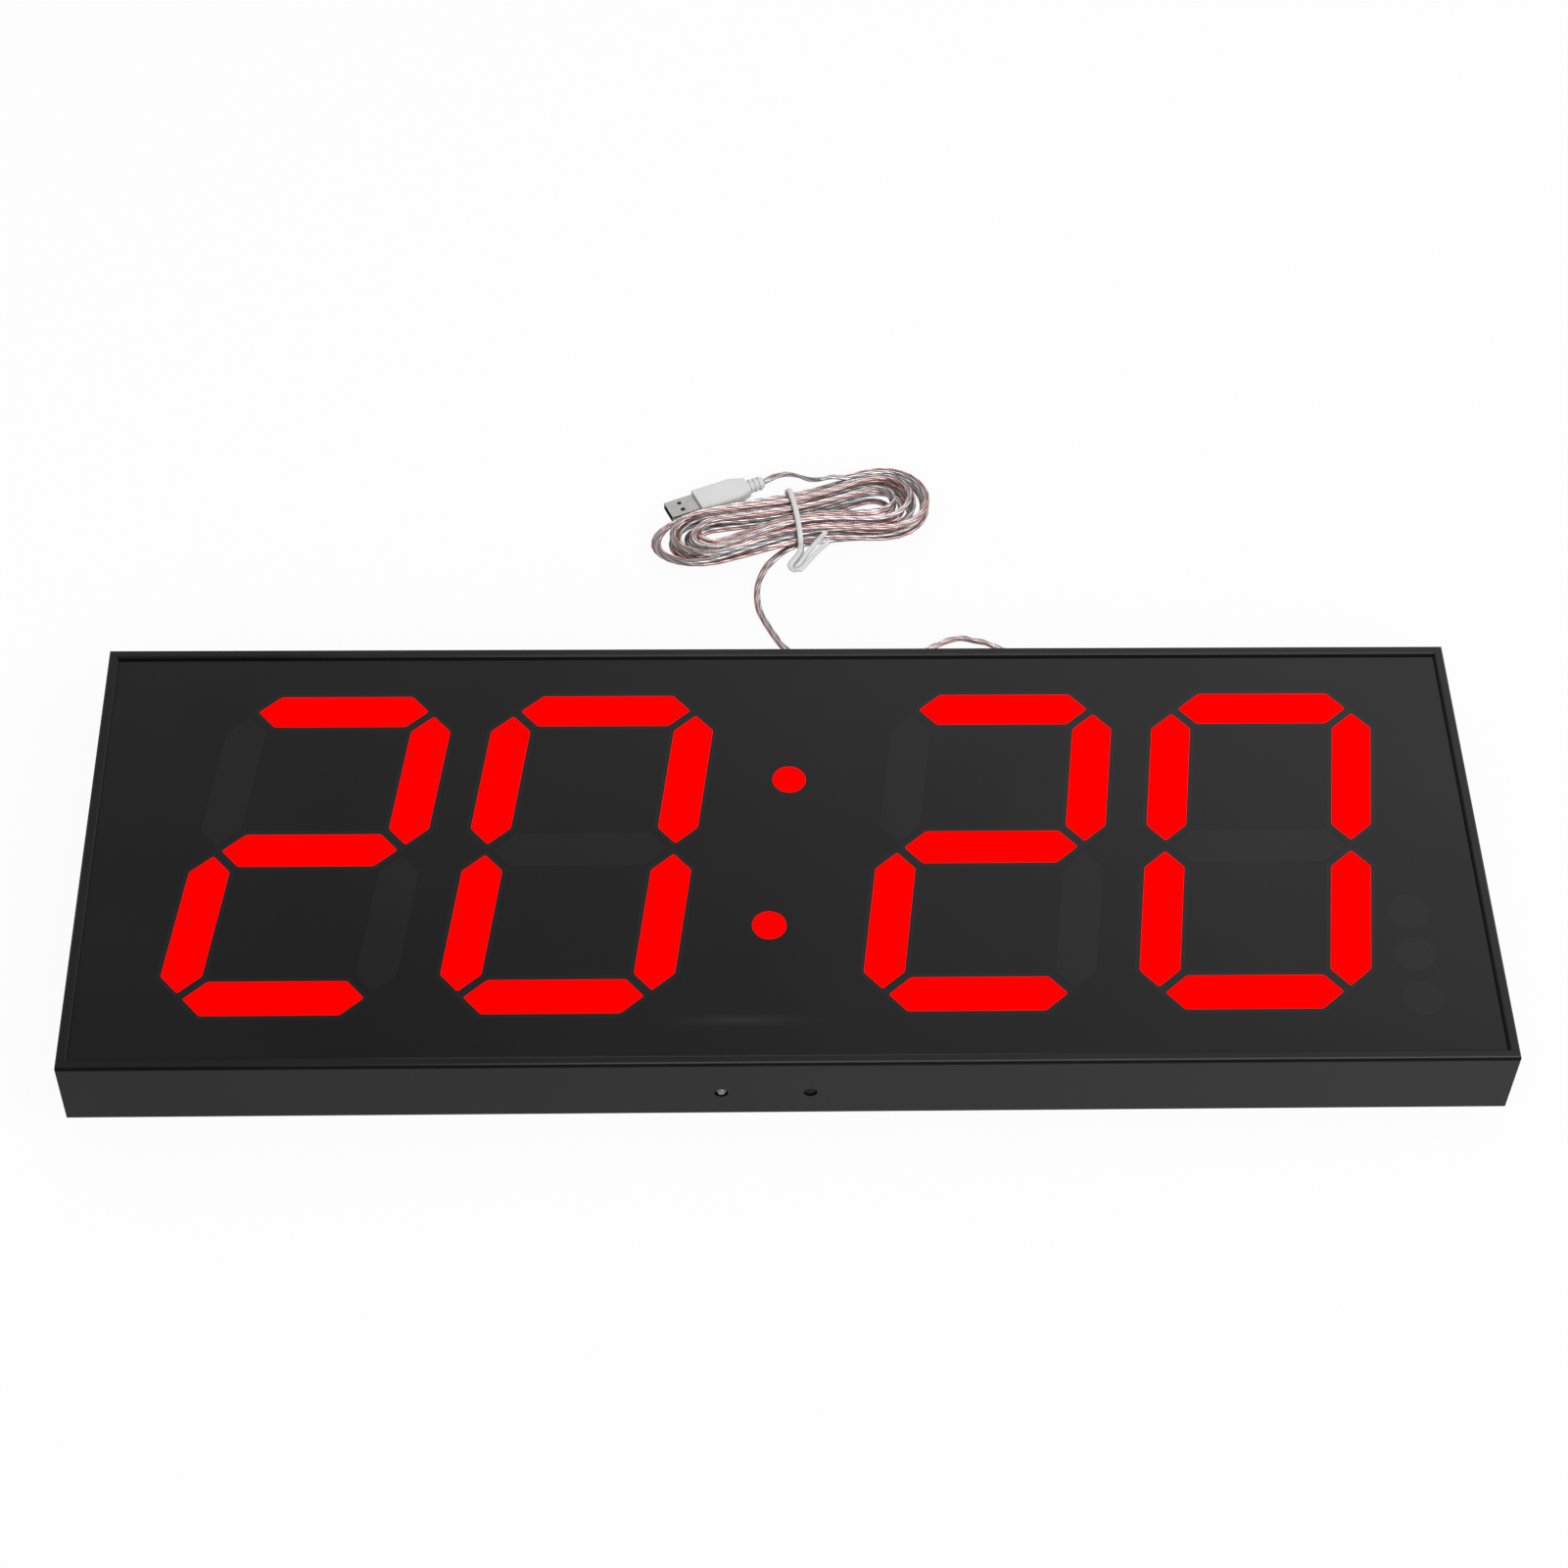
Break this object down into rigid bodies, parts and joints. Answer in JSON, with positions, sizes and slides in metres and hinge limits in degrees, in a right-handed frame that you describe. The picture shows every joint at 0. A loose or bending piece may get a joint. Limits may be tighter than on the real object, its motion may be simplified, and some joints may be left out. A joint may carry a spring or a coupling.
{
  "type": "gym round timer",
  "caption": "Wide wall timer for gym rounds: mitred metal casing, leaning seven-segment digits behind a smoked panel, keyhole back and a tied flat power lead with a plug.",
  "frame": {"origin": "centre of the casing on the plane of its rear rim, where it rests on the floor or against a wall", "axes": "+X to the right of the display, +Y to the top of the digits, +Z out of the display"},
  "size_m": [0.7, 0.4264, 0.0425],
  "materials": {
    "anodised_black": "black anodised, satin",
    "back_black": "matt black sheet",
    "smoked_acrylic": "smoked acrylic, polished",
    "mask_black": "matt black sheet",
    "lit_red": "diffusing red lens, lit",
    "unlit_grey": "diffusing lens, unlit",
    "white_plastic": "moulded white plastic",
    "board_green": "lacquered circuit board",
    "chip_black": "moulded package",
    "bright_steel": "plated steel",
    "zinc": "zinc plated",
    "cell_steel": "bright can",
    "black_rubber": "moulded rubber",
    "clear_lead": "clear sleeve over a copper and a tinned core",
    "tie_white": "white plastic-coated wire",
    "contact_gold": "gold plated",
    "sensor_clear": "clear resin over a pale sensor",
    "ribbon_grey": "flat ribbon cable"
  },
  "bodies": {
    "root": {"top_rail": "anodised_black", "bottom_rail": "anodised_black", "left_rail": "anodised_black", "right_rail": "anodised_black", "corner_keys": "zinc", "corner_set_screws": "bright_steel", "back_panel": "back_black", "back_screws": "bright_steel", "hanger_plates": "zinc", "hanger_rivets": "bright_steel", "front_panel": "smoked_acrylic", "digit_mask": "mask_black", "lit_lenses": "lit_red", "unlit_lenses": "unlit_grey", "colon_lenses": "lit_red", "indicator_lenses": "unlit_grey", "digit_reflector_1": "white_plastic", "digit_reflector_2": "white_plastic", "digit_reflector_3": "white_plastic", "digit_reflector_4": "white_plastic", "colon_reflectors": "white_plastic", "indicator_reflectors": "white_plastic", "left_board": "board_green", "right_board": "board_green", "control_board": "board_green", "segment_leds": "white_plastic", "dot_leds": "white_plastic", "board_standoffs": "zinc", "board_screws": "bright_steel", "board_links": "chip_black", "controller_chip": "chip_black", "clock_chip": "chip_black", "driver_chips": "chip_black", "cell_holder": "chip_black", "backup_cell": "cell_steel", "buzzer": "chip_black", "power_socket": "white_plastic", "sensor_board": "board_green", "light_sensor": "sensor_clear", "remote_receiver": "chip_black", "temperature_probe": "chip_black", "sensor_ribbon": "ribbon_grey", "cord_grommet": "black_rubber", "inner_lead": "clear_lead", "cord_lead": "clear_lead", "cord_hank": "clear_lead", "cord_tail": "clear_lead", "cord_tie": "tie_white", "plug_shell": "bright_steel", "plug_tongue": "chip_black", "plug_contacts": "contact_gold", "plug_grip": "white_plastic", "plug_relief": "white_plastic"}
  },
  "joints": []
}
